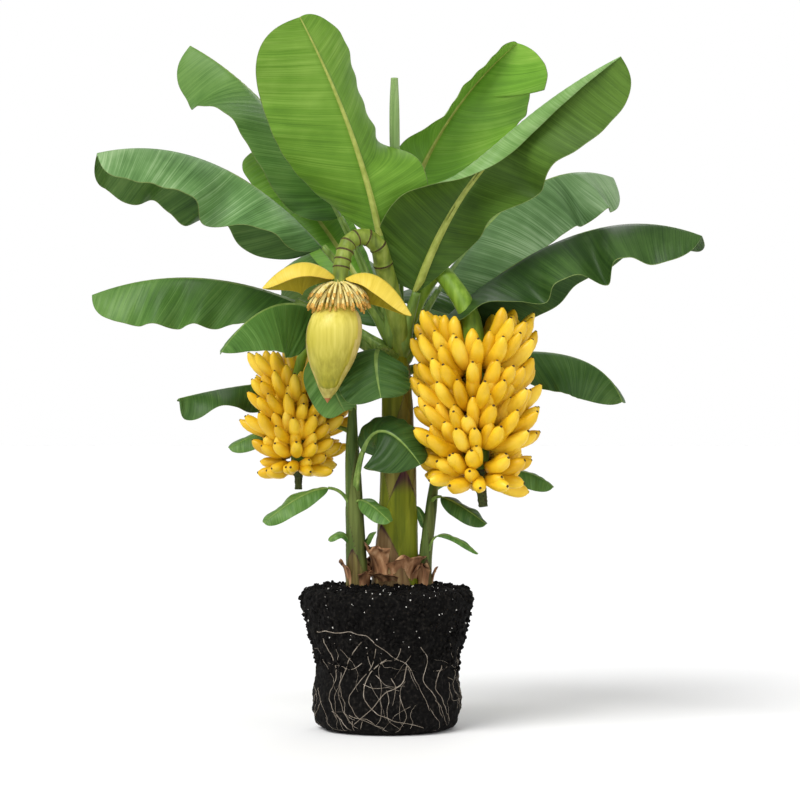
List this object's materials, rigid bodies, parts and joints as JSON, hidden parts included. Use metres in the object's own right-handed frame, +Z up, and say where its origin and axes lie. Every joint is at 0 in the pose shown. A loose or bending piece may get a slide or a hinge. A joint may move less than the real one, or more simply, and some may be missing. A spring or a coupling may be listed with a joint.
{
  "type": "banana plant",
  "caption": "Hardy banana plant on its own root ball: sheathed stem with suckers, broad arching leaves, a hanging flower bud and bunches of ripe fruit.",
  "frame": {"origin": "centre of the flat underside of the root ball", "axes": "+Z up the stem, +X to the right as seen from the front, the front of the plant towards -Y"},
  "size_m": [1.541, 0.9188, 1.756],
  "materials": {
    "leaf": "satin green blade with a pale rib and fine side veins",
    "bright_leaf": "satin yellow-green young blade",
    "new_leaf": "smooth pale green rolled blade",
    "stem": "overlapping sheaths, yellow-green with brown streaks",
    "stalk": "smooth yellow-green with dark ring scars",
    "soil": "rough black potting soil with roots and pale grains",
    "fruit": "smooth ripe yellow skin with dark tips",
    "flower": "smooth waxy yellow bracts",
    "bract": "smooth waxy yellow, olive inside",
    "dry_sheath": "dry papery brown"
  },
  "bodies": {
    "root": {"bract_left": "bract", "bract_right": "bract", "dry_sheath_front": "dry_sheath", "dry_sheath_left": "dry_sheath", "dry_sheath_right": "dry_sheath", "flower_bud": "flower", "flower_fringe": "flower", "flower_stalk_fall": "stalk", "flower_stalk_rise": "stalk", "leaf_back": "leaf", "leaf_back_left": "leaf", "leaf_back_low": "leaf", "leaf_below_bud": "leaf", "leaf_front_high": "leaf", "leaf_front_low": "leaf", "leaf_left_front": "leaf", "leaf_left_high": "leaf", "leaf_left_low": "leaf", "leaf_left_mid": "leaf", "leaf_right_back": "leaf", "leaf_right_big": "leaf", "leaf_right_high": "bright_leaf", "leaf_right_low": "leaf", "leaf_right_mid": "leaf", "leaf_upright": "bright_leaf", "left_bunch_stalk_fall": "stalk", "left_bunch_stalk_rise": "stalk", "left_hand_1": "fruit", "left_hand_2": "fruit", "left_hand_3": "fruit", "left_hand_4": "fruit", "left_hand_5": "fruit", "left_hand_6": "fruit", "left_sucker": "stem", "main_stem": "stem", "new_leaf_spear": "new_leaf", "right_bunch_stalk_fall": "stalk", "right_bunch_stalk_rise": "stalk", "right_hand_1": "fruit", "right_hand_2": "fruit", "right_hand_3": "fruit", "right_hand_4": "fruit", "right_hand_5": "fruit", "right_hand_6": "fruit", "right_hand_7": "fruit", "right_hand_8": "fruit", "right_sucker": "stem", "root_ball": "soil", "small_leaf_gap": "leaf", "small_leaf_left_foot": "leaf", "small_leaf_left_front": "leaf", "small_leaf_left_high": "leaf", "small_leaf_left_low": "leaf", "small_leaf_left_mid": "leaf", "small_leaf_right_foot": "leaf", "small_leaf_right_gap": "leaf", "small_leaf_right_high": "leaf", "small_leaf_right_low": "leaf"}
  },
  "joints": []
}
